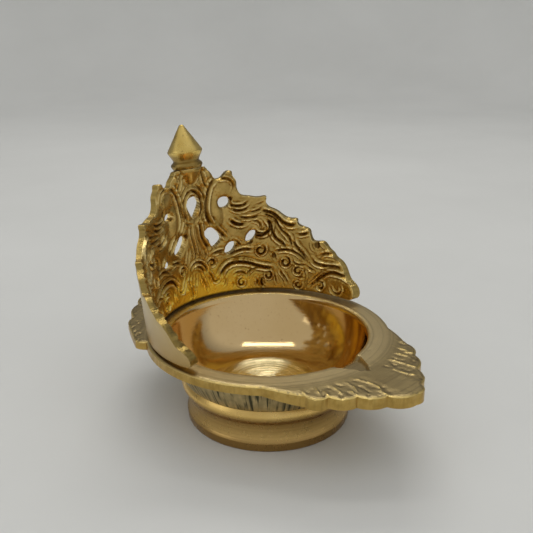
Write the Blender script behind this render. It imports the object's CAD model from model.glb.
"""Looks of the brass hand lamp: cast and chased surfaces, brass finishes, a pale studio, camera.

Shapes are drawn in millimetres in the frame's axes (+Z up, spout towards -Y, back plate over +Y)
and scaled to metres when a mesh is made. Each piece keeps the size and place of its CAD node.
"""
import math

import bmesh
import bpy
import numpy as np
from mathutils import Matrix, Vector, noise
from mathutils.geometry import delaunay_2d_cdt


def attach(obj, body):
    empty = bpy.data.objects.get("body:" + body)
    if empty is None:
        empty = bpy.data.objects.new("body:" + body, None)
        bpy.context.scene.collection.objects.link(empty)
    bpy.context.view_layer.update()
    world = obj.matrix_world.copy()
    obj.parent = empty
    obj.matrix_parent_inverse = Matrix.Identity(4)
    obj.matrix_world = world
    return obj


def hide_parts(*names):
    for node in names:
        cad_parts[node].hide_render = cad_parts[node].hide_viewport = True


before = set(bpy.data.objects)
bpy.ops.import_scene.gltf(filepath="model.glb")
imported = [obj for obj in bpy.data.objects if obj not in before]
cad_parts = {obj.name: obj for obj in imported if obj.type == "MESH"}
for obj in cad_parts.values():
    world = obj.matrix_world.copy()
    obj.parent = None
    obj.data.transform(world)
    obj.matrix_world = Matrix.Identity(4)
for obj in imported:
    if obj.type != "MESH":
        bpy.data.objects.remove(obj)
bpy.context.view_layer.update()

MM = 0.001
BODY = "root"

# ---------------- driving sizes, as in the CAD
RIM_Z = 32.0
MOUTH_R = 35.4
FLANGE_R = 43.2
FLANGE_T = 3.3
UNDER_Z = RIM_Z - FLANGE_T
WALL_TOP_R = 36.2
WALL_LOW_R = 30.8
WALL_BOW = 0.7
SPIGOT_R = 28.7
SPIGOT_Z = 13.9
SPIGOT_BEVEL = 0.8
BASE_R = 20.0
BASE_Z = 8.4
FLOOR_Z = 11.0
BOWL_TURN = math.radians(76.0)
BOWL_REACH_POWER = 0.92
BOWL_RISE_POWER = 1.45
LIP_ROUND = 0.3        # how far the bowl's inside starts in from the mouth
LIP_DROP = 0.9         # and below the rim
TIP_Y = 65.0
SPOUT_NOTCHES = [(32.0, -29.0), (25.8, -41.0), (20.3, -48.5), (12.4, -55.0), (4.5, -61.8), (-1.7, -64.5),
                 (-9.0, -58.9), (-15.7, -52.9), (-21.9, -47.0), (-26.4, -41.6), (-32.0, -29.0)]
SPOUT_BULGES = [0.4, 1.6, 1.6, 1.6, 1.6, 1.6, 1.4, 1.5, 1.9, 0.4]
REAR_NOTCHES = [(37.2, 22.0), (39.1, 25.8), (32.2, 39.6), (26.9, 44.0), (18.0, 53.4), (8.6, 60.0),
                (0.0, TIP_Y)]
REAR_BULGES = [0.5, 0.2, 0.9, 1.8, 1.6, 1.2]
SPOUT_T = 4.4
RAMP_START_Y = -28.0
RAMP_END_Y = -41.0
WICK_START_Y = -35.0
WICK_TIP_Y = -45.4
WICK_HALF_W = 6.0
WICK_DEPTH = 2.0
WICK_TIP_DEPTH = 0.5
FOOT_R = 29.4
FOOT_INNER_R = 26.4
FOOT_BORE_R = 29.0
FOOT_LEDGE_Z = 12.0
FOOT_TOP_Z = 16.0
BEAD_R = 31.5
BEAD_LOW_R = 30.0
BEAD_LOW_Z = 11.2
COVE_DEPTH = 0.9
BAND_TOP_R = 29.6
BAND_TOP_Z = 3.3
GAP = 0.3

ARC_R = 40.0
PLATE_Z = 32.5
PLATE_IN_R = 38.2
PLATE_FLARE = math.radians(3.3)
SIDE_FLARE = math.radians(11.0)
PLATE_FOOT_T = 4.6
PLATE_TOP_T = 3.0
THIN_BY_H = 22.0
FINIAL_BASE_H = 51.6
FINIAL_LEAN = math.radians(10.0)
TENON_R = 1.2
TENON_L = 4.0
CROWN_R = PLATE_IN_R + FINIAL_BASE_H * math.tan(PLATE_FLARE) + PLATE_TOP_T / 2
RIVET_R = 1.1
RIVET_HEAD_R = 1.9
RIVET_HEAD_T = 1.1
RIVET_CIRCLE_R = 40.9
RIVET_TOP_H = 3.0
RIVET_ANGLES = {"left": -40.0, "centre": 0.0, "right": 40.0}

TURNING_RINGS = [10.6, 12.3, 14.4, 16.2, 18.1, 21.4]      # radii of faint ridges on the bowl's floor
RING_RISE = 0.035      # and their height
DISH_SLOPE = 0.18      # slope that the shading gives the dished middle of the bowl's floor
ROUND_STEPS = 192      # facets round the turned pieces
RELIEF_STEP = 0.36     # spacing of the plate's front points
PLAIN_STEP = 1.6       # spacing of points on smooth faces
LEAF_STEP = 0.6        # spacing of points on the flange and leaves
CAST_SKIN = 0.07       # roughness of the plate's cast front
BACK_INSET = 0.12      # how far the plate's uneven back lies inside the plain sheet
BACK_WAVE = 0.12       # and how uneven it is
EDGE_BREAK = 0.9       # how far below the rim the leaves' edges bend a little
EDGE_CHIP = 0.12       # and how uneven they are there
MARK_DEPTH = 0.28      # depth of the upright tool marks on the cup's outer wall
SAME_POINT = 2e-6      # metres within which the patches' points are one

# ---------------- the plate's outline and piercings
PLATE_OUTLINE = [
    (5.4, 51.25), (6.9, 51.2), (8.0, 49.4), (9.4, 48.4), (10.4, 46.0), (13.2, 45.8), (14.5, 47.2),
    (15.4, 48.3), (16.8, 48.8), (17.8, 48.3), (17.7, 46.7), (19.5, 44.6), (19.4, 41.2), (21.2, 38.4),
    (24.8, 37.9), (27.4, 37.2), (30.4, 37.8), (30.9, 37.0), (30.4, 35.2), (31.6, 33.2), (34.7, 31.9),
    (37.5, 29.4), (39.3, 28.5), (42.3, 28.6), (42.2, 26.6), (43.7, 25.5), (46.9, 24.6), (47.3, 22.3),
    (48.3, 20.0), (50.3, 20.0), (52.1, 20.4), (53.6, 19.2), (54.7, 17.6), (56.6, 16.5), (57.8, 14.8),
    (60.3, 13.9), (62.3, 12.0), (63.7, 9.5), (65.2, 7.6), (67.8, 6.7), (69.7, 5.1), (70.3, 3.2),
    (69.6, 1.4), (66.0, 0.9), (58.0, 0.6), (47.5, 0.4), (30.0, 0.1),
]
RIGHT_OVALS = [(13.9, 36.6, 2.6, 2.3, 0.0), (15.9, 18.2, 2.9, 1.9, 50.0), (24.4, 22.1, 2.8, 1.6, 55.0)]
LEFT_OVALS = [(12.9, 35.5, 2.5, 1.6, 0.0), (15.3, 17.8, 2.9, 1.7, 20.0), (24.4, 22.1, 2.2, 1.2, 55.0)]
RIGHT_BREAST = [(7.0, 27.9), (4.8, 26.0), (5.0, 24.3), (7.0, 22.8), (7.6, 20.1), (8.8, 18.9), (10.9, 20.1),
                (13.0, 22.6), (9.6, 26.9)]
LEFT_BREAST = [(5.9, 27.2), (3.6, 25.7), (4.6, 23.0), (6.4, 20.6), (8.2, 19.3), (10.2, 20.0), (11.4, 21.8),
               (9.2, 24.4), (7.4, 26.6)]
TEARDROP_S = 0.6
TEARDROP_TOP_H = 40.7
TEARDROP_R = 3.1
TEARDROP_POINT_H = 31.2

# ---------------- chased lines of the relief
# Each line: depth, width, then points (s, h) on the +X half. The -X half is its mirror image.
CROWN_LINES = [
    (0.9, 0.7, [(-0.8, 43.2), (1.7, 42.6), (3.6, 40.7), (4.5, 37.3), (3.9, 34.0), (2.6, 31.6)]),
    (0.7, 0.6, [(1.9, 45.1), (4.3, 43.1), (5.7, 39.7), (5.4, 36.1), (4.7, 33.2), (3.7, 31.4)]),
    (0.8, 0.7, [(4.6, 50.9), (5.2, 48.9), (5.6, 46.8), (6.2, 44.7), (7.4, 42.7)]),
    (0.6, 0.7, [(3.3, 49.9), (2.1, 47.3), (0.7, 45.1)]),
    (0.6, 0.5, [(5.3, 50.0), (6.4, 49.6), (7.7, 49.4)]),
]
BIRD_LINES = [
    (1.1, 0.9, [(10.4, 45.8), (8.9, 44.5), (7.8, 42.5), (6.9, 39.7), (6.2, 36.3), (6.0, 33.3), (6.8, 30.8),
                (8.2, 28.6)]),
    (1.0, 0.8, [(10.1, 27.0), (11.9, 25.1), (14.2, 22.4)]),
    (0.7, 0.6, [(10.9, 45.8), (13.2, 45.8), (15.3, 45.9), (17.2, 44.8), (18.2, 42.8), (17.7, 40.8)]),
    (0.45, 0.5, [(9.7, 43.9), (9.6, 42.3), (10.3, 40.7)]),
    (0.9, 0.7, [(15.9, 36.2), (17.2, 34.9), (20.3, 34.5), (22.4, 35.0), (23.9, 36.1)]),
    (0.9, 0.7, [(16.9, 34.1), (18.4, 33.0), (20.8, 32.6), (22.9, 33.2), (24.1, 34.1)]),
    (0.6, 0.6, [(26.6, 34.3), (28.5, 34.9), (30.0, 35.5)]),
    (0.8, 0.6, [(23.9, 31.6), (26.0, 31.9), (28.2, 32.5), (29.4, 33.6)]),
    (0.9, 0.7, [(19.6, 30.4), (21.9, 29.7), (24.9, 29.4), (27.0, 30.0), (28.4, 30.1)]),
    (1.2, 0.8, [(16.1, 29.4), (18.2, 27.8), (20.4, 27.1), (22.5, 27.4)]),
    (0.35, 0.6, [(20.3, 37.1), (22.4, 37.4), (24.0, 36.9)]),
    (0.4, 0.6, [(25.6, 37.9), (24.8, 37.0), (24.2, 36.0)]),
]
SHOULDER_LINES = [
    (0.7, 0.6, [(24.4, 28.6), (26.5, 28.2), (28.2, 27.3), (28.5, 25.7), (27.8, 24.7)]),
    (1.3, 0.8, [(30.9, 28.6), (32.2, 26.9), (32.4, 25.0), (31.3, 23.4), (29.5, 22.6), (27.5, 22.9),
                (26.1, 24.1)]),
]
TAIL_LINES = [
    (1.2, 0.9, [(28.8, 32.1), (31.0, 31.6), (33.0, 31.0), (34.9, 29.4), (36.5, 27.5), (38.2, 26.5),
                (40.2, 26.0), (42.0, 26.4)]),
    (0.5, 0.5, [(31.0, 33.1), (33.6, 32.6), (35.5, 31.3), (37.3, 29.6), (39.0, 28.5)]),
    (0.9, 0.7, [(29.4, 31.0), (31.0, 30.3), (33.0, 29.5), (34.6, 28.0), (35.3, 26.0), (36.5, 24.1),
                (37.9, 23.0), (39.3, 21.7), (40.1, 19.8), (40.8, 17.2)]),
    (0.5, 0.5, [(33.0, 28.3), (34.0, 26.3), (35.4, 23.7), (37.0, 21.7), (38.5, 20.0), (39.5, 17.8)]),
    (1.0, 0.8, [(31.0, 28.6), (32.5, 26.9), (32.7, 24.6), (33.4, 22.4), (34.8, 20.5), (36.6, 19.3),
                (38.0, 17.8), (38.6, 16.7)]),
    (1.0, 0.8, [(40.8, 20.3), (42.1, 18.0), (43.8, 16.2), (45.8, 14.2), (46.8, 12.4)]),
    (0.5, 0.5, [(42.6, 18.1), (44.5, 16.9), (46.2, 15.1), (47.4, 12.8)]),
    (1.0, 0.7, [(42.5, 22.5), (44.5, 22.6), (47.0, 23.4)]),
]
BASE_LINES = [
    (0.7, 0.6, [(5.7, 10.3), (7.3, 8.1), (7.7, 6.3), (8.9, 5.5), (10.2, 5.9), (10.0, 7.3)]),
    (0.9, 0.7, [(7.7, 16.6), (9.8, 17.4), (11.9, 17.6), (13.5, 17.0)]),
    (1.0, 0.7, [(15.2, 15.0), (17.1, 16.1), (19.7, 16.9), (22.3, 17.2), (25.3, 16.5)]),
    (0.8, 0.6, [(17.3, 21.3), (18.7, 20.7), (20.0, 19.3), (20.2, 18.1)]),
    (0.6, 0.5, [(18.1, 17.6), (18.6, 18.8), (17.9, 19.9)]),
    (1.3, 0.9, [(11.4, 7.5), (12.1, 9.3), (13.9, 11.1), (16.8, 12.1), (20.2, 12.0), (23.8, 11.3), (26.9, 9.9),
                (30.0, 9.2), (33.0, 8.7)]),
    (0.5, 0.5, [(12.7, 13.6), (15.6, 13.6), (19.7, 13.4), (23.8, 12.7), (26.9, 11.5)]),
    (0.8, 0.6, [(17.2, 6.9), (18.3, 7.9), (20.1, 8.1), (21.8, 7.2), (22.6, 5.8)]),
    (0.8, 0.6, [(22.2, 6.0), (23.4, 7.8), (25.1, 8.9), (27.9, 9.2)]),
    (0.5, 0.5, [(12.5, 6.9), (13.5, 5.5), (13.1, 3.7), (12.0, 2.9)]),
    (0.5, 0.5, [(16.0, 4.9), (17.0, 3.1), (16.6, 1.7)]),
    (0.8, 0.5, [(26.1, 5.0), (27.1, 4.0), (26.7, 2.8), (27.5, 1.5)]),
    (0.9, 0.5, [(30.0, 4.9), (28.9, 4.7), (28.5, 3.4), (29.1, 1.9), (30.2, 1.1)]),
    (1.0, 0.7, [(34.2, 15.5), (36.6, 16.3), (39.5, 16.3), (42.5, 15.4), (44.8, 13.7), (46.5, 12.0)]),
    (0.8, 0.6, [(33.0, 15.1), (34.0, 13.7), (34.4, 12.2)]),
    (0.8, 0.6, [(40.8, 12.4), (42.0, 10.9), (44.5, 10.4), (46.9, 10.7)]),
    (0.8, 0.6, [(46.7, 10.1), (48.5, 9.7), (50.5, 8.7)]),
    (0.6, 0.5, [(42.7, 6.0), (44.7, 5.6), (46.8, 5.6)]),
    (0.6, 0.5, [(46.0, 10.0), (46.3, 7.9), (46.8, 6.1)]),
    (0.7, 0.6, [(36.1, 8.4), (36.7, 6.9), (38.5, 5.1), (39.4, 2.8)]),
    (0.6, 0.5, [(33.6, 7.1), (34.5, 4.7), (34.9, 2.4)]),
]
END_LINES = [
    (0.8, 0.7, [(51.7, 14.5), (53.2, 15.9), (56.0, 16.4), (58.6, 16.1), (60.8, 14.7)]),
    (1.0, 0.8, [(48.9, 13.1), (50.1, 12.0), (52.7, 11.3), (56.5, 11.4), (59.3, 11.9), (61.6, 11.7)]),
    (1.0, 0.8, [(50.8, 3.9), (53.1, 6.3), (55.4, 8.5), (57.7, 9.3), (60.6, 9.4), (63.5, 9.2), (66.9, 8.2)]),
    (0.7, 0.6, [(48.7, 2.6), (51.2, 4.6), (53.4, 7.2), (54.9, 9.4)]),
    (0.7, 0.6, [(58.4, 3.7), (59.6, 2.4), (61.3, 1.8), (63.1, 2.4), (63.9, 3.7), (62.9, 4.8)]),
    (0.7, 0.6, [(57.2, 17.4), (59.7, 16.0), (62.4, 13.8), (64.5, 11.3), (66.0, 9.6)]),
    (0.6, 0.6, [(51.8, 20.2), (53.5, 18.9), (55.3, 17.2)]),
    (0.5, 0.5, [(48.5, 20.4), (48.4, 18.5), (49.2, 17.1), (50.6, 16.7)]),
]
# The middle of the plate isn't symmetrical, so these lines have no mirror image.
MIDDLE_LINES = [
    (0.9, 0.7, [(-2.9, 12.8), (-2.1, 14.2), (-0.4, 15.0), (1.9, 14.8), (3.6, 13.5), (4.8, 11.6),
                (5.2, 10.1)]),
    (0.9, 0.7, [(0.2, 13.0), (1.9, 12.8), (2.9, 11.8), (4.1, 10.2)]),
    (0.5, 0.5, [(-0.6, 11.9), (0.9, 11.8), (2.1, 10.7), (2.5, 9.7)]),
    (0.6, 0.6, [(2.3, 9.7), (2.7, 8.0), (4.0, 5.4), (4.8, 2.8)]),
    (0.5, 0.6, [(-0.4, 10.2), (-0.8, 7.6), (-1.4, 5.2), (-1.7, 2.1)]),
    (0.9, 0.5, [(-2.6, 7.2), (-2.5, 4.6), (-2.5, 1.1)]),
    (0.7, 0.6, [(-3.3, 10.4), (-4.6, 8.6), (-3.6, 7.0)]),
    (0.6, 0.7, [(-1.1, 29.9), (-1.6, 26.4), (-0.5, 22.5), (0.3, 18.5), (-0.2, 15.7)]),
    (1.1, 0.8, [(2.9, 30.4), (3.1, 27.4), (3.4, 24.8), (4.7, 22.0), (6.5, 19.6)]),
    (0.6, 0.6, [(-3.1, 21.0), (-4.3, 17.5), (-4.8, 14.6)]),
    (0.6, 0.6, [(1.5, 20.5), (2.2, 17.9), (2.5, 15.9)]),
    (0.6, 0.6, [(4.4, 19.3), (5.0, 17.1), (4.6, 15.3)]),
    (0.7, 0.7, [(2.8, 33.6), (1.8, 32.0), (0.3, 30.6)]),
    (0.6, 0.6, [(-4.7, 31.8), (-2.6, 30.6), (-0.3, 30.0)]),
]
# Pits and bosses: centre s, centre h, half size along s, half size along h, depth or height
SIDE_PITS = [
    (16.5, 37.7, 1.0, 1.0, 1.3), (28.2, 22.7, 2.4, 1.0, 1.2), (23.9, 19.9, 1.6, 1.2, 1.2),
    (50.3, 18.9, 1.3, 1.6, 1.1), (33.8, 13.9, 1.0, 1.4, 0.8), (18.3, 18.9, 0.9, 0.9, 0.7),
    (11.7, 17.4, 1.6, 0.8, 0.7),
]
MIDDLE_PITS = [(-4.1, 25.9, 1.2, 1.5, 1.0)]
SIDE_BOSSES = [
    (5.7, 50.9, 1.1, 1.1, 0.9), (7.7, 47.8, 1.7, 1.9, 0.9), (13.5, 42.4, 4.0, 4.0, 0.6),
    (16.1, 47.6, 2.0, 1.5, 0.6), (10.1, 31.8, 3.4, 7.0, 0.9), (28.6, 19.5, 2.2, 2.2, 0.5),
    (34.2, 17.5, 0.7, 0.7, 0.5), (32.7, 16.0, 0.7, 0.7, 0.5), (8.5, 4.7, 1.6, 0.7, 0.6),
    (11.9, 3.7, 0.7, 0.6, 0.5), (27.9, 3.0, 0.7, 1.8, 0.8), (4.3, 30.3, 1.2, 0.6, 0.5),
    (28.0, 14.0, 0.9, 0.5, 0.5), (49.8, 16.6, 0.9, 0.7, 0.4), (50.6, 13.3, 1.2, 0.6, 0.4),
    (45.0, 4.7, 1.2, 0.8, 0.5), (53.7, 7.8, 0.8, 0.6, 0.4), (15.0, 10.3, 0.9, 0.5, 0.4),
    (19.3, 7.0, 1.3, 0.6, 0.4), (49.2, 8.4, 1.4, 0.8, 0.5),
]
MIDDLE_BOSSES = [
    (-5.3, 5.0, 0.9, 0.6, 0.5), (-4.0, 1.4, 0.8, 0.6, 0.4), (-3.8, 29.7, 0.9, 0.6, 0.5),
    (-0.6, 13.5, 0.9, 0.6, 0.4), (-0.5, 5.6, 0.5, 0.6, 0.3),
]
# Curled tips: centre s, centre h, outer radius, inner radius, first angle, turn, both in degrees
SPIRALS = [
    (28.3, 16.3, 2.1, 0.6, 60.0, -430.0), (38.3, 11.3, 2.1, 0.6, 100.0, -430.0),
    (53.6, 3.4, 1.7, 0.5, 150.0, -400.0), (43.6, 8.0, 1.6, 0.5, 40.0, 400.0),
    (31.4, 5.9, 1.7, 0.5, 120.0, -400.0), (20.3, 3.5, 1.6, 0.5, 60.0, 400.0),
    (7.5, 13.3, 1.7, 0.5, 200.0, -400.0), (44.0, 2.6, 1.3, 0.4, 20.0, -380.0),
]
SPIRAL_DEPTH = 0.9
SPIRAL_WIDTH = 0.6
LIP_SHARE = 0.5        # height of the raised lips beside a chased line, as a share of its depth

# Raised veins on the spout leaf: points (x, y) on the -X half, then on the +X half
LEAF_VEINS = [
    [(-8.4, -43.8), (-7.4, -47.0), (-6.7, -50.3), (-6.5, -53.6), (-9.5, -57.6)],
    [(-11.4, -43.7), (-11.7, -46.1), (-12.2, -48.8), (-14.5, -52.6)],
    [(-16.3, -42.4), (-16.9, -44.9), (-17.3, -47.2), (-18.6, -49.2)],
    [(-20.6, -40.2), (-22.0, -42.6), (-23.0, -44.4)],
    [(6.0, -50.1), (6.2, -53.7), (6.9, -56.3), (8.8, -58.4)],
    [(10.3, -43.3), (11.6, -48.7), (12.3, -53.0)],
    [(15.4, -41.5), (16.6, -45.4), (17.2, -49.4)],
    [(19.9, -38.8), (20.1, -43.5), (20.6, -46.6)],
    [(24.8, -34.9), (24.4, -38.4), (24.8, -40.8)],
]
EDGE_ROUND = 0.5       # how far the leaves' upper edges are rounded off
NOTCH_RUN = 0.075      # how far the mark at each notch runs in, as a share of its distance from Z


# ================ flat geometry
def smooth_corners(points, rounds=2, closed=True):
    """Cut the corners of a loop or a line by quarters, twice unless told otherwise."""
    points = np.array(points, float)
    for _ in range(rounds):
        nxt = np.roll(points, -1, 0) if closed else points[1:]
        here = points if closed else points[:-1]
        pair = np.stack([0.75 * here + 0.25 * nxt, 0.25 * here + 0.75 * nxt], 1).reshape(-1, 2)
        points = pair if closed else np.vstack([points[:1], pair, points[-1:]])
    return points


def resampled(points, step):
    """A closed loop as evenly spaced points."""
    ring = np.vstack([points, points[:1]])
    run = np.concatenate([[0.0], np.cumsum(np.linalg.norm(np.diff(ring, axis=0), axis=1))])
    count = max(8, int(round(run[-1] / step)))
    spots = np.linspace(0.0, run[-1], count, endpoint=False)
    return np.stack([np.interp(spots, run, ring[:, k]) for k in (0, 1)], 1)


def circle(radius, steps=ROUND_STEPS):
    """A circle about Z, starting over +Y."""
    turn = np.linspace(0.0, math.tau, steps, endpoint=False)
    return np.stack([radius * np.sin(turn), radius * np.cos(turn)], 1)


def sides_of(loops):
    """Start and end of every side of every loop."""
    return np.vstack(loops), np.vstack([np.roll(loop, -1, 0) for loop in loops])


def on_metal(points, loops):
    """Even-odd test for each point: true inside the outer loop and outside the piercings."""
    start, end = sides_of(loops)
    crossings = np.zeros(len(points), int)
    for (x0, y0), (x1, y1) in zip(start, end):
        if y0 == y1:
            continue
        spans = (y0 > points[:, 1]) != (y1 > points[:, 1])
        x = x0 + (points[:, 1] - y0) / (y1 - y0) * (x1 - x0)
        crossings += spans & (x > points[:, 0])
    return crossings % 2 == 1


def to_line(points, line):
    """Distance from each point to an open line, and the share of the line's length at the nearest spot."""
    best = np.full(len(points), 1e9)
    along = np.zeros(len(points))
    lengths = np.linalg.norm(np.diff(line, axis=0), axis=1)
    total = lengths.sum()
    run = 0.0
    for start, end, length in zip(line, line[1:], lengths):
        side = (end - start) / length
        t = np.clip((points - start) @ side, 0.0, length)
        gap = np.linalg.norm(points - start - t[:, None] * side, axis=1)
        closer = gap < best
        best[closer] = gap[closer]
        along[closer] = (run + t[closer]) / total
        run += length
    return best, along


def to_loops(points, loops, reach=3.0):
    """Distance from each point to the nearest side of any loop, cut off at reach."""
    best = np.full(len(points), reach)
    for loop in loops:
        ring = np.vstack([loop, loop[:1]])
        for start, end in zip(ring, ring[1:]):
            low, high = np.minimum(start, end) - reach, np.maximum(start, end) + reach
            near = np.all((points > low) & (points < high), 1)
            if not near.any():
                continue
            side = end - start
            t = np.clip((points[near] - start) @ side / (side @ side), 0.0, 1.0)
            gap = np.linalg.norm(points[near] - start - t[:, None] * side, axis=1)
            best[near] = np.minimum(best[near], gap)
    return best


def fill(loops, step, hem=0.0):
    """Triangles over the metal inside the loops. The loops' own points come first, in order."""
    border = np.vstack(loops)
    low, high = border.min(0), border.max(0)
    rows = np.arange(low[1], high[1], step * math.sqrt(0.75))
    columns = np.arange(low[0], high[0], step)
    grid = np.array([(x + (i % 2) * step / 2, y) for i, y in enumerate(rows) for x in columns])
    grid = grid[on_metal(grid, loops)]
    grid = grid[to_loops(grid, loops) > hem + 0.55 * step]
    extra = [grid]
    if hem:
        for loop in loops:
            tangent = np.roll(loop, -1, 0) - np.roll(loop, 1, 0)
            across = np.stack([-tangent[:, 1], tangent[:, 0]], 1)
            across /= np.linalg.norm(across, axis=1)[:, None]
            for side in (1, -1):
                row = loop + side * hem * across
                row = row[on_metal(row, loops)]
                extra.append(row[to_loops(row, loops) > 0.93 * hem])
    points = np.vstack([border] + extra)
    edges = []
    first = 0
    for loop in loops:
        edges += [(first + i, first + (i + 1) % len(loop)) for i in range(len(loop))]
        first += len(loop)
    flat, _, faces, *_ = delaunay_2d_cdt([Vector(p) for p in points], edges, [], 0, 1e-6)
    flat = np.array(flat)
    faces = np.array(faces)
    return flat, faces[on_metal(flat[faces].mean(1), loops)]


# ================ meshes
class Shell:
    """Gathers patches of one closed piece, each patch with its own finish, in millimetres."""

    def __init__(self):
        self.points, self.faces, self.finish, self.relief, self.count = [], [], [], [], 0

    def patch(self, points, faces, finish, relief=None):
        self.points.append(np.asarray(points, float))
        self.faces += [tuple(int(i) + self.count for i in face) for face in faces]
        self.finish += [finish] * len(faces)
        self.relief.append(np.zeros(len(points)) if relief is None else relief)
        self.count += len(points)

    def strip(self, one, other, finish, relief=None):
        """Quads between two rings with the same number of points."""
        n = len(one)
        faces = [(i, (i + 1) % n, n + (i + 1) % n, n + i) for i in range(n)]
        self.patch(np.vstack([one, other]), faces, finish, relief)

    def build(self, name, materials, sharp_angle=45.0):
        mesh = bpy.data.meshes.new(name)
        mesh.from_pydata((np.vstack(self.points) * MM).tolist(), [], self.faces)
        mesh.polygons.foreach_set("material_index", self.finish)
        mesh.attributes.new("relief", "FLOAT", "POINT").data.foreach_set("value", np.concatenate(self.relief))
        bm = bmesh.new()
        bm.from_mesh(mesh)
        bmesh.ops.remove_doubles(bm, verts=bm.verts[:], dist=SAME_POINT)
        bmesh.ops.recalc_face_normals(bm, faces=bm.faces[:])
        bm.to_mesh(mesh)
        bm.free()
        for material in materials:
            mesh.materials.append(material)
        mesh.shade_smooth()
        mesh.set_sharp_from_angle(angle=math.radians(sharp_angle))
        obj = bpy.data.objects.new(name, mesh)
        bpy.context.scene.collection.objects.link(obj)
        return obj


def ring_points(radius, z, steps=ROUND_STEPS):
    """A level ring; radius and z may be single numbers or one value for each point."""
    flat = circle(1.0, steps) * np.reshape(radius, (-1, 1))
    return np.column_stack([flat, np.broadcast_to(z, len(flat))])


def turned(shell, profile, finish, steps=ROUND_STEPS, relief=0.0):
    """Turn a line of (radius, z) points about Z and add it to the shell; radius 0 closes in a fan."""
    for (r0, z0), (r1, z1) in zip(profile, profile[1:]):
        if r0 and r1:
            shell.strip(ring_points(r0, z0, steps), ring_points(r1, z1, steps), finish,
                        np.full(2 * steps, relief))
        else:
            ring = ring_points(r0 or r1, z0 if r0 else z1, steps)
            points = np.vstack([ring, [[0.0, 0.0, z1 if r0 else z0]]])
            shell.patch(points, [(i, (i + 1) % steps, steps) for i in range(steps)], finish,
                        np.full(steps + 1, relief))


def place(obj, slot, *nodes):
    """Put a finished piece on the lamp: it stands for its CAD node and takes the record's slot."""
    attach(obj, BODY)
    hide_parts(*nodes)
    return obj


def rough(points, scale, detail=3):
    """Fractal noise, about -1 to 1, at each 3-D point in millimetres; scale is the grain size."""
    return np.array([noise.fractal(Vector(p) / scale, 1.0, 2.0, detail) for p in points])


# ================ back plate
def mirrored(loop):
    """The same points on the other side of the plate, in the opposite order."""
    return [(-s, h) for s, h in reversed(loop)]


def ellipse(centre_s, centre_h, half_length, half_width, tilt, steps=40):
    turn = np.linspace(0.0, math.tau, steps, endpoint=False)
    lean = math.radians(tilt)
    along, across = half_length * np.cos(turn), half_width * np.sin(turn)
    return list(zip(centre_s + along * math.cos(lean) - across * math.sin(lean),
                    centre_h + along * math.sin(lean) + across * math.cos(lean)))


def teardrop(steps=24):
    """The piercing between the birds' heads: round on top, pointed below."""
    middle_h = TEARDROP_TOP_H - TEARDROP_R
    turn = np.linspace(0.0, math.pi, steps)
    arch = list(zip(TEARDROP_R * np.cos(turn), middle_h + TEARDROP_R * np.sin(turn)))
    side = [(2.65, 36.0), (1.45, 33.8)]
    points = arch + [(-s, h) for s, h in side] + [(0.0, TEARDROP_POINT_H)] + side[::-1]
    return [(TEARDROP_S + s, h) for s, h in points]


def plate_loops(step):
    """The plate's outline first, then its piercings."""
    outer = smooth_corners(PLATE_OUTLINE + [(0.0, 0.0)] + mirrored(PLATE_OUTLINE))
    loops = [outer, smooth_corners(teardrop(), 1)]
    loops += [ellipse(*oval) for oval in RIGHT_OVALS] + [mirrored(ellipse(*oval)) for oval in LEFT_OVALS]
    loops += [smooth_corners(RIGHT_BREAST), smooth_corners(mirrored(LEFT_BREAST))]
    return [resampled(np.array(loop), step) for loop in loops]


def spiral(centre_s, centre_h, outer_r, inner_r, first, turn, steps=28):
    t = np.linspace(0.0, 1.0, steps)
    angle = np.radians(first + turn * t)
    radius = outer_r + (inner_r - outer_r) * t
    return list(zip(centre_s + radius * np.cos(angle), centre_h + radius * np.sin(angle)))


def chased_lines():
    """Every line of the relief, mirror images included."""
    side = CROWN_LINES + BIRD_LINES + SHOULDER_LINES + TAIL_LINES + BASE_LINES + END_LINES
    side += [(SPIRAL_DEPTH, SPIRAL_WIDTH, spiral(*one)) for one in SPIRALS]
    return side + [(depth, width, mirrored(line)) for depth, width, line in side] + MIDDLE_LINES


def carve(points, lines):
    """Chased lines that fade at both ends: depth of the V cut, and height of the lip raised on its sides."""
    depth_here = np.zeros(len(points))
    lip_here = np.zeros(len(points))
    for depth, width, line in lines:
        line = smooth_corners(line, 2, closed=False)
        reach = 3.6 * width
        near = np.all(points > line.min(0) - reach, 1) & np.all(points < line.max(0) + reach, 1)
        if not near.any():
            continue
        gap, along = to_line(points[near], line)
        length = np.linalg.norm(np.diff(line, axis=0), axis=1).sum()
        height = depth * (0.25 + 0.75 * np.clip(np.minimum(along, 1 - along) * length / 1.6, 0.0, 1.0))
        cut = 0.75 * height * np.exp(-(gap / (0.55 * width)) ** 2)
        side_cut = 0.35 * height * np.exp(-((gap - 2.35 * width) / (0.4 * width)) ** 2)
        lip = LIP_SHARE * height * np.exp(-((gap - 1.4 * width) / (0.5 * width)) ** 2)
        depth_here[near] = np.maximum(depth_here[near], np.maximum(cut, side_cut))
        lip_here[near] = np.maximum(lip_here[near], lip)
    return depth_here, lip_here


def domes(points, spots):
    """Height of rounded bosses, or depth of pits, at each point."""
    height = np.zeros(len(points))
    for s, h, half_s, half_h, rise in spots:
        far = ((points[:, 0] - s) / half_s) ** 2 + ((points[:, 1] - h) / half_h) ** 2
        height = np.maximum(height, rise * np.clip(1 - far, 0.0, 1.0))
    return height


def both_sides(spots):
    return spots + [(-s, h, half_s, half_h, rise) for s, h, half_s, half_h, rise in spots]


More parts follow.
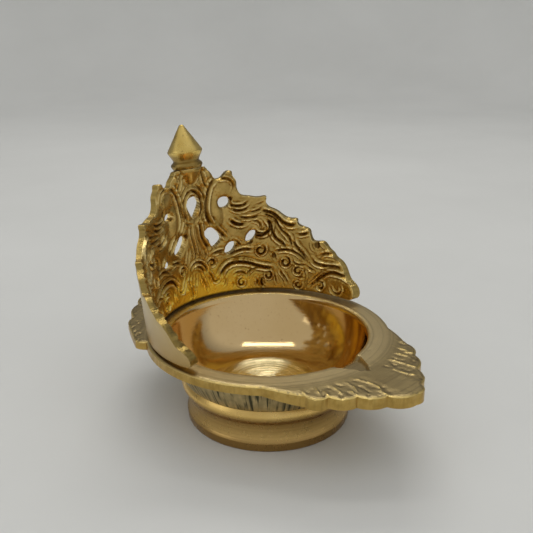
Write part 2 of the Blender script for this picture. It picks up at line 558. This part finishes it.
def relief_at(points, loops):
    """Height of the chased front above the plain sheet, and its tone: dark below 0, worn bright above."""
    bosses = domes(points, both_sides(SIDE_BOSSES) + MIDDLE_BOSSES)
    cut, lip = carve(points, chased_lines())
    cut = np.maximum(cut, domes(points, both_sides(SIDE_PITS) + MIDDLE_PITS))
    edge = to_loops(points, loops)
    lip = lip * np.clip(1 - 2.0 * cut, 0.0, 1.0)
    height = bosses + lip - cut - 0.45 * np.exp(-(edge / 0.45) ** 2)
    return height, np.where(edge < 0.3, 0.35, 1.2 * lip - cut)


def plate_thickness(h):
    return PLATE_FOOT_T + (PLATE_TOP_T - PLATE_FOOT_T) * np.clip(h / THIN_BY_H, 0.0, 1.0)


def socket_bulge(s, h):
    """Half depth of the round socket at the crown, and the radius at which its leaning axis stands."""
    down = FINIAL_BASE_H - h
    radius = np.interp(down, [0.0, 1.4, 2.6, 4.2, 5.6, 6.3], [5.2, 4.9, 4.2, 3.1, 1.9, 0.0])
    half = np.sqrt(np.clip(radius ** 2 - s ** 2, 0.0, None))
    return half, CROWN_R - down * math.tan(FINIAL_LEAN)


def plate_points(points, depth, relief=0.0):
    """Points of the plate in space; depth is 0 on the chased face and 1 on the back."""
    s, h = points[:, 0], points[:, 1]
    turn = s / ARC_R
    flare = PLATE_FLARE + SIDE_FLARE * np.sin(turn) ** 4
    radius = PLATE_IN_R + h * np.tan(flare) + depth * plate_thickness(h)
    half, axis_r = socket_bulge(s, h)
    if depth == 0:
        radius = radius - relief
        radius = np.where(half > 0, np.minimum(radius, axis_r - half), radius)
    else:
        radius = np.where(half > 0, np.maximum(radius, axis_r + half), radius)
    tip = np.clip((h - 44.0) / 6.0, 0.0, 1.0)
    z = PLATE_Z + h - tip * (radius - axis_r) * math.tan(FINIAL_LEAN)
    return np.column_stack([radius * np.sin(turn), radius * np.cos(turn), z])


def make_back_plate(materials):
    shell = Shell()
    loops = plate_loops(RELIEF_STEP)
    flat, faces = fill(loops, RELIEF_STEP, hem=0.4)
    height, tone = relief_at(flat, loops)
    front = plate_points(flat, 0, height + CAST_SKIN * rough(plate_points(flat, 0), 1.3))
    shell.patch(front, faces, 0, tone)
    back_flat, back_faces = fill(loops, PLAIN_STEP, hem=0.6)
    back_edge = to_loops(back_flat, loops)
    back = plate_points(back_flat, 1)
    sag = BACK_WAVE * rough(back, 9.0) - 0.3 * np.exp(-(back_edge / 0.5) ** 2)
    direction = back * (1, 1, 0) / np.linalg.norm(back[:, :2], axis=1)[:, None]
    back = back + direction * (sag - BACK_INSET)[:, None]
    shell.patch(back, back_faces, 1, np.where(back_edge < 0.3, 0.6, 0.0))
    first = 0
    for loop in loops:
        n = len(loop)
        one, other = front[first:first + n], back[first:first + n]
        if first == 0:
            shell.strip(one, other, 2, np.full(2 * n, 0.35))
        else:
            shell.strip(one, other, 0, np.full(2 * n, -0.3))
        first += n
    return place(shell.build("back_plate_chased", materials, 50.0), "plate_brass", "back_plate")


# ================ cup
def lobe_arc(start, end, bulge, steps=9):
    """Points after start along the arc to end that stands bulge clear of the chord."""
    start, end = Vector(start), Vector(end)
    chord = end - start
    half = chord.length / 2
    radius = (half * half + bulge * bulge) / (2 * bulge)
    normal = Vector((chord.y, -chord.x)).normalized()
    if normal.dot((start + end) / 2) < 0:
        normal.negate()
    centre = (start + end) / 2 - normal * (radius - bulge)
    spread = math.asin(min(1.0, half / radius))
    turns = [spread * (2 * i / steps - 1) for i in range(1, steps + 1)]
    return [tuple(centre + normal * radius * math.cos(t) + chord.normalized() * radius * math.sin(t))
            for t in turns]


def leaf_edge(notches, bulges):
    """The lobed edge of a leaf through all its notches."""
    points = [notches[0]]
    for start, end, bulge in zip(notches, notches[1:], bulges):
        points += lobe_arc(start, end, bulge)
    return points


def flange_arc(start, end, steps=60):
    """Points between start and end round the flange's own edge, through +X."""
    one, two = (math.atan2(y, x) for x, y in (start, end))
    turns = np.linspace(one, two, steps + 1)[1:-1]
    return [(FLANGE_R * math.cos(t), FLANGE_R * math.sin(t)) for t in turns]


def cup_outline():
    """Edge of the flange with both leaves, clockwise from the +X end of the spout leaf."""
    side = flange_arc(SPOUT_NOTCHES[0], REAR_NOTCHES[0])
    rear = leaf_edge(REAR_NOTCHES, REAR_BULGES)
    half = side + rear
    whole = leaf_edge(SPOUT_NOTCHES, SPOUT_BULGES) + mirrored(half[::-1]) + half[-2::-1]
    return resampled(np.array(whole), LEAF_STEP)


def under_height(points):
    """Height of the flange's underside: it slopes down to the thicker spout leaf."""
    x, y = points[:, 0], points[:, 1]
    drop = (SPOUT_T - FLANGE_T) * np.clip((RAMP_START_Y - y) / (RAMP_START_Y - RAMP_END_Y), 0.0, 1.0)
    return UNDER_Z - drop * np.clip((np.hypot(x, y) - WALL_TOP_R) / 3.5, 0.0, 1.0)


def wick_channel(points):
    """Depth of the sloping channel in the spout leaf that the wick lies in."""
    x, y = np.abs(points[:, 0]), points[:, 1]
    t = np.clip((WICK_START_Y - y) / (WICK_START_Y - WICK_TIP_Y), 0.0, 1.0)
    wide = WICK_HALF_W * (1 - t ** 1.6)
    depth = WICK_TIP_DEPTH + (WICK_DEPTH - WICK_TIP_DEPTH) * (1 - t)
    inside = np.clip((wide - x) / 0.7, 0.0, 1.0) * (y < 0) * (y > WICK_TIP_Y)
    return depth * inside ** 0.7


def vein_lines():
    """The veins, and a short ridge running in from every notch of the spout leaf's edge."""
    marks = []
    for x, y in SPOUT_NOTCHES[1:-1]:
        middle, end = 1 - 0.5 * NOTCH_RUN, 1 - NOTCH_RUN
        marks.append([(x, y), (middle * x, middle * y + 0.2), (end * x - 0.3, end * y + 0.1)])
    return LEAF_VEINS + marks


def leaf_relief(points, edge):
    """Height of the flange and leaf tops above RIM_Z: veins, pitted lobes, wick channel, rounded edges."""
    x, y = points[:, 0], points[:, 1]
    radius = np.hypot(x, y)
    flat = np.column_stack([x, y, 0 * x])
    veins = np.zeros(len(points))
    for line in vein_lines():
        gap, along = to_line(points, smooth_corners(line, 2, closed=False))
        veins = np.maximum(veins, np.exp(-(gap / 0.38) ** 2) * np.clip(4 * (1 - along), 0.0, 1.0))
    spout = np.clip((np.abs(x) - 4.5) / 1.5, 0.0, 1.0) * np.clip((radius - 45.5) / 2.0, 0.0, 1.0) * (y < 0)
    rear = np.clip((radius - 44.0) / 1.5, 0.0, 1.0) * (y > 0)
    lobes = np.maximum(spout, rear)
    coarse = np.clip(rough(flat, 2.6, 2) + 0.45, 0.0, 1.0)
    # short chased strokes that fan out from the middle of the lamp
    turn = np.degrees(np.arctan2(x, -y))
    strokes = rough(np.column_stack([0.5 * turn, 0.28 * radius, 0 * x]), 0.8, 2)
    fine = np.clip(1.2 * np.where(y < 0, strokes, rough(flat, 1.3, 2)), 0.0, 1.0)
    pits = lobes * (1 - veins) * (0.08 + 0.62 * coarse * fine)
    channel = wick_channel(points)
    height = 0.22 * veins * lobes - pits - channel - EDGE_ROUND * np.exp(-(edge / 0.4) ** 2)
    worn = np.clip(rough(flat, 1.6, 2) + 0.75, 0.0, 1.0)
    return height, 0.5 * veins * worn * np.maximum(lobes, 0.4) - 1.1 * pits - 0.2 * (channel > 0.2)


def bowl_inside(steps=44):
    """Inner profile from under the rim to the middle of the floor, with faint turning ridges."""
    points = []
    for i in range(steps, -1, -1):
        turn = BOWL_TURN * i / steps
        reach = (math.sin(turn) / math.sin(BOWL_TURN)) ** BOWL_REACH_POWER
        rise = ((1 - math.cos(turn)) / (1 - math.cos(BOWL_TURN))) ** BOWL_RISE_POWER
        r = (MOUTH_R - LIP_ROUND) * reach
        z = FLOOR_Z + (RIM_Z - LIP_DROP - FLOOR_Z) * rise
        for ring in TURNING_RINGS:
            z += RING_RISE * math.exp(-((r - ring) / 0.4) ** 2)
        points.append((r, z))
    points[-1] = (0.0, points[-1][1])
    return points


def make_oil_cup(materials):
    shell = Shell()
    outline = cup_outline()
    mouth = circle(MOUTH_R)
    flat, faces = fill([outline, mouth], LEAF_STEP, hem=0.35)
    edge = to_loops(flat, [outline, mouth])
    drop, tone = leaf_relief(flat, edge)
    top = np.column_stack([flat, RIM_Z + drop])
    near_mouth = np.abs(np.hypot(flat[:, 0], flat[:, 1]) - MOUTH_R) < 0.5
    tone = np.where((to_loops(flat, [outline]) < 0.35) | near_mouth, 0.3, tone)
    shell.patch(top, faces, 0, tone)

    # inside of the bowl, its first ring following the lip down into the wick channel
    ring = top[len(outline):len(outline) + len(mouth)]
    level = ring[:, 2]
    for r, z in bowl_inside():
        level = np.minimum(z, level - 0.04)
        if r:
            new = ring_points(r, level)
            shell.strip(ring, new, 1)
            ring = new
        else:
            points = np.vstack([ring, [[0.0, 0.0, z]]])
            shell.patch(points, [(i, (i + 1) % len(ring), len(ring)) for i in range(len(ring))], 1)

    # edge of the flange and leaves
    n = len(outline)
    low = np.column_stack([outline, under_height(outline) + 0.25])
    middle = np.column_stack([outline, np.full(n, RIM_Z - EDGE_BREAK) + EDGE_CHIP * rough(low, 1.2)])
    shell.strip(top[:n], middle, 2, np.full(2 * n, 0.4))
    shell.strip(middle, low, 2, np.full(2 * n, 0.1))
    under_flat, under_faces = fill([outline, circle(WALL_TOP_R)], PLAIN_STEP, hem=0.35)
    under_edge = to_loops(under_flat, [outline])
    under = np.column_stack([under_flat, under_height(under_flat) + 0.25 * np.exp(-(under_edge / 0.25) ** 2)])
    shell.patch(under, under_faces, 3)

    # outside wall: a rough cast cone with upright tool marks, then the turned spigot and base
    ring = under[n:n + ROUND_STEPS]
    turn = np.linspace(0.0, math.tau, ROUND_STEPS, endpoint=False)
    wall_steps = 16
    low_z = FOOT_TOP_Z + GAP
    for i in range(1, wall_steps + 1):
        t = i / wall_steps
        z = UNDER_Z - (UNDER_Z - low_z) * t
        spot = np.column_stack([31 * np.sin(turn), 31 * np.cos(turn), np.full(ROUND_STEPS, 0.12 * z)])
        mark = rough(spot, 1.25, 2)
        swell = math.sin(math.pi * t)
        plain_r = WALL_TOP_R + (WALL_LOW_R - WALL_TOP_R) * t + WALL_BOW * swell
        new = ring_points(plain_r - MARK_DEPTH * swell * np.clip(mark + 0.4, 0, 1), z)
        tone = -np.clip(1.6 * mark + 0.35, 0, 1) * swell ** 0.5
        shell.strip(ring, new, 4, np.concatenate([tone, tone]))
        ring = new
    turned(shell, [(WALL_LOW_R, low_z), (SPIGOT_R + SPIGOT_BEVEL, low_z), (SPIGOT_R, low_z - SPIGOT_BEVEL),
                   (SPIGOT_R, SPIGOT_Z), (BASE_R, BASE_Z), (0.0, BASE_Z)], 3)
    return place(shell.build("oil_cup_turned", materials, 40.0), "cup_brass", "oil_cup")


# ================ foot, finial, rivets
def make_foot_ring(materials):
    shell = Shell()
    profile = [(FOOT_INNER_R, FOOT_LEDGE_Z), (FOOT_BORE_R, FOOT_LEDGE_Z),
               (FOOT_BORE_R, FOOT_TOP_Z - SPIGOT_BEVEL), (FOOT_BORE_R + SPIGOT_BEVEL, FOOT_TOP_Z),
               (BEAD_R - 1.0, FOOT_TOP_Z)]
    steps = 14
    for i in range(1, steps):
        t = i / steps
        r = BEAD_R - 1.0 + (BEAD_LOW_R - BEAD_R + 1.0) * t + 1.1 * math.sin(math.pi * t)
        profile.append((r, FOOT_TOP_Z + (BEAD_LOW_Z - FOOT_TOP_Z) * t))
    profile.append((BEAD_LOW_R, BEAD_LOW_Z))
    for i in range(1, steps):
        t = i / steps
        r = BEAD_LOW_R - 0.3 + (BAND_TOP_R - BEAD_LOW_R) * t - COVE_DEPTH * math.sin(math.pi * t)
        profile.append((r, BEAD_LOW_Z + (BAND_TOP_Z - BEAD_LOW_Z) * t))
    profile += [(BAND_TOP_R, BAND_TOP_Z), (BAND_TOP_R, BAND_TOP_Z - 0.3), (FOOT_R + 0.02, 0.7),
                (FOOT_R - 0.2, 0.2), (FOOT_R - 0.5, 0.0), (FOOT_INNER_R, 0.0)]
    turned(shell, profile + profile[:1], 0)
    foot = shell.build("foot_ring_turned", materials, 40.0)
    return place(foot, "foot_brass", "foot_ring")


def finial_frame():
    foot = Vector((0.0, CROWN_R, PLATE_Z + FINIAL_BASE_H)) * MM
    return Matrix.Translation(foot) @ Matrix.Rotation(-FINIAL_LEAN, 4, "X")


def make_finial(materials):
    shell = Shell()
    profile = [(0.0, 15.85), (0.35, 15.82), (0.65, 15.72), (0.9, 15.5), (1.1, 15.2), (3.8, 10.8),
               (6.42, 6.55), (6.52, 6.3), (6.45, 5.95), (6.1, 5.2), (5.45, 4.1), (4.95, 3.2), (4.8, 2.75),
               (4.95, 2.4), (5.4, 2.0), (5.8, 1.6), (5.9, 1.2), (5.85, 0.8), (5.6, 0.3), (5.35, -0.22),
               (TENON_R, -0.25), (TENON_R, -TENON_L), (0.0, -TENON_L)]
    turned(shell, profile, 0, 96)
    finial = shell.build("finial_turned", materials, 38.0)
    finial.data.transform(finial_frame())
    return place(finial, "finial_brass", "finial")


def make_rivets(materials):
    head_top = UNDER_Z - GAP
    dome = [(RIVET_HEAD_R * math.cos(math.radians(a)), head_top - RIVET_HEAD_T * math.sin(math.radians(a)))
            for a in range(0, 90, 15)]
    profile = [(0.0, PLATE_Z + RIVET_TOP_H), (RIVET_R, PLATE_Z + RIVET_TOP_H), (RIVET_R, head_top)]
    profile += dome + [(0.0, head_top - RIVET_HEAD_T)]
    for side, angle in RIVET_ANGLES.items():
        shell = Shell()
        turned(shell, profile, 0, 40)
        rivet = shell.build("plate_rivet_peened_" + side, materials, 40.0)
        turn = math.radians(angle)
        rivet.data.transform(Matrix.Translation((RIVET_CIRCLE_R * MM * math.sin(turn),
                                                 RIVET_CIRCLE_R * MM * math.cos(turn), 0.0)))
        place(rivet, "rivet_brass", "plate_rivet_" + side)


# ================ finishes
def feed(tree, socket, value):
    """Link a socket to another one, or set it to a value."""
    if isinstance(value, bpy.types.NodeSocket):
        tree.links.new(value, socket)
    else:
        socket.default_value = value


def add_node(tree, kind, **inputs):
    """A shader node, each named input linked or set."""
    node = tree.nodes.new("ShaderNode" + kind)
    for name, value in inputs.items():
        feed(tree, node.inputs[name.replace("_", " ")], value)
    return node


def add_maths(tree, kind, operation, *inputs):
    """A Math or VectorMath node with its operation and inputs."""
    node = tree.nodes.new("ShaderNode" + kind)
    node.operation = operation
    for socket, value in zip(node.inputs, inputs):
        feed(tree, socket, value)
    return node


class Finish:
    """A node material, with short calls for the nodes that the brass finishes share."""

    def __init__(self, name, metallic=1.0):
        self.material = bpy.data.materials.new(name)
        self.material.use_nodes = True
        self.tree = self.material.node_tree
        self.shader = self.tree.nodes["Principled BSDF"]
        self.shader.inputs["Metallic"].default_value = metallic
        self.coords = self.tree.nodes.new("ShaderNodeTexCoord").outputs["Object"]

    def node(self, kind, **inputs):
        return add_node(self.tree, kind, **inputs)

    def stretched(self, x, y, z):
        return self.node("Mapping", Vector=self.coords, Scale=(x, y, z)).outputs["Vector"]

    def grain(self, scale, detail=4.0, roughness=0.55, vector=None):
        return self.node("TexNoise", Vector=vector or self.coords, Scale=scale, Detail=detail,
                         Roughness=roughness).outputs["Fac"]

    def ranged(self, value, low, high, to_low, to_high):
        return self.node("MapRange", Value=value, From_Min=low, From_Max=high, To_Min=to_low,
                         To_Max=to_high).outputs["Result"]

    def uneven(self, pattern, low, high):
        """A value that wanders between two limits with a noise pattern."""
        return self.ranged(pattern, 0.3, 0.7, low, high)

    def mix(self, factor, one, other):
        node = self.tree.nodes.new("ShaderNodeMix")
        node.data_type = "RGBA"
        for socket, value in zip((node.inputs[0], node.inputs[6], node.inputs[7]), (factor, one, other)):
            feed(self.tree, socket, (*value, 1.0) if isinstance(value, tuple) else value)
        return node.outputs[2]

    def mottled(self, pattern, one, other, low=0.3, high=0.7):
        """Two colours blended by a noise pattern."""
        return self.mix(self.ranged(pattern, low, high, 0.0, 1.0), one, other)

    def relief(self):
        node = self.tree.nodes.new("ShaderNodeAttribute")
        node.attribute_name = "relief"
        return node.outputs["Fac"]

    def axes(self):
        """The X, Y and Z of the place on the object, as sockets."""
        return self.node("SeparateXYZ", Vector=self.coords).outputs

    def radius(self):
        """Distance from Z, and height, as sockets."""
        x, y, z = self.axes()
        across = self.node("CombineXYZ", X=x, Y=y).outputs[0]
        return add_maths(self.tree, "VectorMath", "LENGTH", across).outputs["Value"], z

    def around(self, radius, squeeze):
        """Place round Z on a cylinder of this radius, with heights squeezed, for marks that run up a cone."""
        x, y, z = self.axes()
        across = self.node("CombineXYZ", X=x, Y=y).outputs[0]
        outwards = add_maths(self.tree, "VectorMath", "NORMALIZE", across).outputs[0]
        flat = self.node("Mapping", Vector=outwards, Scale=(radius, radius, 0.0)).outputs[0]
        upright = self.node("CombineXYZ", Z=z).outputs[0]
        height = self.node("Mapping", Vector=upright, Scale=(1.0, 1.0, squeeze)).outputs[0]
        return add_maths(self.tree, "VectorMath", "ADD", flat, height).outputs[0]

    def ring_noise(self, scale, detail=3.0):
        """Noise that changes only with the distance from Z and with height: the marks of turning."""
        radius, height = self.radius()
        return self.grain(scale, detail, 0.7, self.node("CombineXYZ", X=radius, Z=height).outputs[0])

    def bump(self, height, strength, distance, under=None):
        node = self.node("Bump", Height=height, Strength=strength, Distance=distance)
        if under:
            self.tree.links.new(under, node.inputs["Normal"])
        return node.outputs["Normal"]

    def finish(self, colour, roughness, normal):
        for value, name in ((colour, "Base Color"), (roughness, "Roughness"), (normal, "Normal")):
            self.tree.links.new(value, self.shader.inputs[name])
        return self.material


def chased_brass():
    """Antique front of the plate: brown in the cuts, gold on the strands, richer gold low down."""
    f = Finish("chased_brass")
    relief = f.relief()
    mottle = f.grain(190.0, 5.0, 0.6)
    body = f.mottled(mottle, (0.44, 0.285, 0.072), (0.72, 0.49, 0.150), 0.35, 0.68)
    height = f.radius()[1]
    brown = f.mix(f.ranged(height, 0.035, 0.058, 0.75, 0.0), body, (0.46, 0.275, 0.048))
    # the middle of the plate's foot is a richer gold
    middle = f.ranged(f.axes()["Y"], 0.028, 0.038, 0.0, 1.0)
    gold = add_maths(f.tree, "Math", "MULTIPLY", f.ranged(height, 0.036, 0.047, 1.0, 0.0), middle)
    rich = f.mix(gold.outputs[0], brown, (1.0, 0.70, 0.085))
    dark = f.mix(f.ranged(relief, -0.55, -0.1, 1.0, 0.0), rich, (0.17, 0.09, 0.02))
    bright = f.mix(f.ranged(relief, 0.10, 0.42, 0.0, 0.9), dark, (0.97, 0.76, 0.33))
    # dark joint where the plate stands on the flange
    seam = f.mix(f.ranged(height, 0.0328, 0.0336, 0.9, 0.0), bright, (0.05, 0.03, 0.010))
    rough_map = f.uneven(f.grain(420.0, 3.0), 0.24, 0.40)
    fine = f.bump(f.grain(1500.0, 3.0), 0.35, 0.00012)
    return f.finish(seam, rough_map, f.bump(f.grain(520.0, 2.0), 0.4, 0.00025, fine))


def satin_back_brass():
    """Smooth pale back of the plate, more golden low down."""
    f = Finish("satin_back_brass")
    mottle = f.grain(70.0, 4.0)
    body = f.mottled(mottle, (0.62, 0.48, 0.25), (0.76, 0.64, 0.41))
    low = f.mix(f.ranged(f.radius()[1], 0.034, 0.050, 1.0, 0.0), body, (0.50, 0.335, 0.115))
    brushed = f.grain(900.0, 4.0, 0.6, f.stretched(1.0, 1.0, 0.12))
    return f.finish(low, f.uneven(mottle, 0.30, 0.42), f.bump(brushed, 0.25, 0.0001))


def filed_brass(name, dull, bright):
    """Yellow edges, with upright file marks across them."""
    f = Finish(name)
    marks = f.grain(800.0, 3.0, 0.6, f.stretched(1.0, 1.0, 0.10))
    patch = f.grain(260.0, 4.0, 0.6)
    body = f.mottled(patch, dull, bright, 0.35, 0.62)
    lined = f.mix(f.ranged(marks, 0.50, 0.72, 0.0, 0.35), body, (0.30, 0.19, 0.05))
    worn = f.mix(f.ranged(f.relief(), 0.25, 0.4, 0.0, 0.5), lined, (0.60, 0.43, 0.140))
    return f.finish(worn, f.uneven(marks, 0.28, 0.42), f.bump(marks, 0.6, 0.0003))


def polished_bowl_brass():
    """Mirror-turned inside of the bowl, with fine turning rings that are coarser on its floor."""
    f = Finish("polished_bowl_brass")
    body = f.mottled(f.grain(45.0, 3.0), (0.75, 0.525, 0.240), (0.81, 0.585, 0.290))
    spots = f.mix(f.ranged(f.grain(800.0, 4.0, 0.65), 0.62, 0.72, 0.0, 0.45), body, (0.30, 0.16, 0.04))
    radius = f.radius()[0]
    floor = f.ranged(radius, 0.0150, 0.0185, 1.0, 0.0)
    pale = f.mix(floor, spots, (0.98, 0.86, 0.50))
    wall = f.bump(f.ring_noise(1600.0), 0.22, 0.00009)
    rings = f.node("Bump", Strength=floor, Distance=0.00040, Height=f.ring_noise(900.0), Normal=wall)
    # the middle of the floor is slightly dished, in the shading only
    dish = f.node("MapRange", Value=radius, From_Min=0.0, From_Max=0.0175, To_Min=0.0, To_Max=0.0175)
    normal = f.bump(dish.outputs["Result"], 1.0, DISH_SLOPE, rings.outputs["Normal"])
    return f.finish(pale, f.ranged(floor, 0.0, 1.0, 0.09, 0.12), normal)


def flange_brass():
    """Grey-brown satin flange and leaves: turning lines, dark pits, bright worn veins."""
    f = Finish("flange_brass")
    relief = f.relief()
    body = f.mottled(f.grain(90.0), (0.375, 0.28, 0.125), (0.475, 0.365, 0.170))
    clean = f.mix(f.ranged(f.radius()[0], 0.0405, 0.0455, 0.85, 0.0), body, (0.68, 0.53, 0.270))
    turned_lines = f.mix(f.ranged(f.ring_noise(900.0), 0.50, 0.66, 0.0, 0.50), clean, (0.24, 0.175, 0.08))
    dark = f.mix(f.ranged(relief, -0.40, -0.05, 0.85, 0.0), turned_lines, (0.13, 0.095, 0.045))
    bright = f.mix(f.ranged(relief, 0.08, 0.36, 0.0, 0.9), dark, (0.90, 0.68, 0.24))
    lines = f.bump(f.ring_noise(1300.0), 0.35, 0.00012)
    cast = f.bump(f.grain(1300.0, 3.0), 0.3, 0.00012, lines)
    return f.finish(bright, f.uneven(f.grain(500.0), 0.33, 0.46), cast)


def under_brass():
    """As-cast underside of the flange and the base of the cup."""
    f = Finish("under_brass")
    body = f.mottled(f.grain(160.0, 5.0), (0.34, 0.25, 0.11), (0.55, 0.42, 0.20), 0.35, 0.65)
    return f.finish(body, f.uneven(f.grain(300.0), 0.38, 0.55), f.bump(f.grain(900.0), 0.5, 0.0002))


def rough_wall_brass():
    """Unpolished wall under the flange: pale gold-grey, with dark upright strokes."""
    f = Finish("rough_wall_brass")
    body = f.mottled(f.grain(260.0, 4.0), (0.46, 0.36, 0.17), (0.66, 0.52, 0.26), 0.35, 0.65)
    dark = f.mix(f.ranged(f.relief(), -0.8, -0.2, 0.35, 0.0), body, (0.24, 0.19, 0.09))
    upright = f.grain(1100.0, 2.0, 0.5, f.around(0.034, 0.09))
    where = f.ranged(f.grain(120.0, 2.0), 0.38, 0.60, 0.58, 0.44)
    strokes = f.node("MapRange", Value=upright, From_Min=where, From_Max=0.66, To_Min=0.0, To_Max=0.95)
    inked = f.mix(strokes.outputs["Result"], dark, (0.070, 0.068, 0.038))
    return f.finish(inked, f.uneven(upright, 0.36, 0.58), f.bump(upright, 0.6, 0.0003))


def foot_brass():
    """Golden satin of the turned foot, a little browner in patches."""
    f = Finish("foot_brass")
    body = f.mottled(f.grain(75.0, 4.0), (0.70, 0.45, 0.130), (0.86, 0.59, 0.200))
    height = f.radius()[1]
    cove = f.mix(f.ranged(height, 0.0115, 0.0140, 1.0, 0.0), body, (0.47, 0.285, 0.085))
    light = f.mix(f.ranged(height, 0.0080, 0.0105, 1.0, 0.0), cove, (0.64, 0.425, 0.150))
    band = f.mix(f.ranged(height, 0.0030, 0.0045, 0.70, 0.0), light, (0.28, 0.155, 0.045))
    worn = f.mix(f.ranged(f.ring_noise(500.0), 0.50, 0.72, 0.0, 0.4), band, (0.36, 0.21, 0.06))
    lines = f.bump(f.ring_noise(1500.0), 0.3, 0.0001)
    return f.finish(worn, f.uneven(f.grain(400.0), 0.24, 0.36), lines)


def finial_brass():
    """Golden satin of the turned bud."""
    f = Finish("finial_brass")
    body = f.mottled(f.grain(150.0, 4.0), (0.80, 0.56, 0.15), (0.98, 0.74, 0.25))
    under = f.mix(f.ranged(f.radius()[1], 0.0885, 0.0900, 0.8, 0.0), body, (0.27, 0.165, 0.042))
    spots = f.mix(f.ranged(f.grain(700.0, 3.0), 0.60, 0.72, 0.0, 0.5), under, (0.30, 0.18, 0.05))
    lines = f.bump(f.grain(900.0, 3.0, 0.6, f.stretched(0.15, 0.15, 1.0)), 0.3, 0.00012)
    return f.finish(spots, f.uneven(f.grain(500.0), 0.24, 0.38), lines)


def rivet_brass():
    """Hammered rivet heads."""
    f = Finish("rivet_brass")
    body = f.mottled(f.grain(400.0), (0.42, 0.31, 0.14), (0.66, 0.50, 0.24))
    return f.finish(body, f.uneven(f.grain(700.0), 0.34, 0.52), f.bump(f.grain(700.0), 0.5, 0.0003))


def studio_paper():
    """Plain pale sweep with a faint paper tooth."""
    f = Finish("studio_paper", metallic=0.0)
    body = f.mottled(f.grain(6.0), (0.62, 0.622, 0.605), (0.66, 0.662, 0.645))
    return f.finish(body, f.uneven(f.grain(30.0), 0.75, 0.9), f.bump(f.grain(900.0), 0.1, 0.0001))


# ================ studio and camera
BRIGHT_SIDE = (-0.61, -0.61, 0.51)      # direction of the bright side of the room
DIM_ROOM, BRIGHT_ROOM = 0.20, 0.50      # strength of the room as the polish sees it
ROOM_ON_PAPER = 0.64                    # strength of the room as it lights the paper


def make_studio():
    """A round sweep of paper: flat floor, rising in a wide curve to a wall on every side.

    Only the paper close to the lamp shows in its polish; further out the glossy rays see the dim room.
    """
    paper = studio_paper()
    near = Shell()
    near_r, floor_r, curve_r, wall_top = 250.0, 900.0, 500.0, 1300.0
    turned(near, [(0.0, 0.0), (120.0, 0.0), (near_r, 0.0)], 0, 96)
    near.build("studio_floor", [paper], 60.0)
    far = Shell()
    profile = [(near_r, 0.0), (450.0, 0.0), (floor_r, 0.0)]
    for i in range(1, 13):
        turn = math.pi / 2 * i / 12
        profile.append((floor_r + curve_r * math.sin(turn), curve_r * (1 - math.cos(turn))))
    profile.append((floor_r + curve_r, wall_top))
    turned(far, profile, 0, 96)
    sweep = far.build("studio_sweep", [paper], 60.0)
    sweep.visible_glossy = False


def area_light(name, place, aim, size, radiance, colour):
    data = bpy.data.lights.new(name, "AREA")
    data.shape = "RECTANGLE"
    data.size, data.size_y = size
    data.energy = radiance * math.pi * size[0] * size[1]
    data.color = colour
    light = bpy.data.objects.new(name, data)
    light.location = place
    light.rotation_euler = (Vector(aim) - Vector(place)).to_track_quat("-Z", "Y").to_euler()
    light.visible_camera = False
    bpy.context.scene.collection.objects.link(light)
    return light


def make_world():
    """White room: even light on the paper, and for the polish a bright side behind the camera."""
    world = bpy.data.worlds.new("studio")
    world.use_nodes = True
    tree = world.node_tree
    sky = add_node(tree, "TexCoord").outputs["Generated"]
    facing = add_maths(tree, "VectorMath", "DOT_PRODUCT", sky, BRIGHT_SIDE)
    polish = add_node(tree, "MapRange", Value=facing.outputs["Value"], From_Min=-0.05, From_Max=0.30,
                      To_Min=DIM_ROOM, To_Max=BRIGHT_ROOM)
    is_polish = add_node(tree, "LightPath").outputs["Is Glossy Ray"]
    strength = add_node(tree, "MapRange", Value=is_polish, To_Min=ROOM_ON_PAPER,
                        To_Max=polish.outputs["Result"])
    background = tree.nodes["Background"]
    background.inputs["Color"].default_value = (1.0, 1.0, 1.0, 1.0)
    tree.links.new(strength.outputs["Result"], background.inputs["Strength"])
    bpy.context.scene.world = world


def make_lights():
    middle = (0.0, 0.0, 0.03)
    paper_fill = area_light("paper_fill", (-0.56, -0.56, 0.62), middle, (2.0, 1.5), 0.52, (1.0, 1.0, 0.98))
    paper_fill.visible_glossy = False
    area_light("overhead_strip", (0.1, 0.1, 1.0), (0.0, 0.0, 0.0), (0.62, 0.12), 3.2, (1.0, 0.99, 0.95))
    area_light("back_softbox", (0.38, 0.38, 0.83), middle, (0.6, 0.26), 2.9, (1.0, 0.98, 0.94))
    area_light("left_softbox", (-0.95, 0.35, 0.40), middle, (0.5, 0.5), 0.6, (0.98, 0.99, 1.0))


def make_camera():
    data = bpy.data.cameras.new("photo_camera")
    data.lens = 50.66
    data.sensor_width = 36.0
    camera = bpy.data.objects.new("photo_camera", data)
    camera.location = (-0.1742, -0.1733, 0.1412)
    camera.rotation_euler = (math.radians(70.8), 0.0, math.radians(-45.0))
    bpy.context.scene.collection.objects.link(camera)
    bpy.context.scene.camera = camera


bpy.context.scene.view_settings.view_transform = "Standard"
plate_edge = filed_brass("filed_plate_brass", (0.27, 0.180, 0.042), (0.37, 0.255, 0.068))
cup_edge = filed_brass("filed_cup_brass", (0.43, 0.275, 0.070), (0.56, 0.37, 0.105))
make_back_plate([chased_brass(), satin_back_brass(), plate_edge])
make_oil_cup([flange_brass(), polished_bowl_brass(), cup_edge, under_brass(), rough_wall_brass()])
make_foot_ring([foot_brass()])
make_finial([finial_brass()])
make_rivets([rivet_brass()])
make_studio()
make_world()
make_lights()
make_camera()
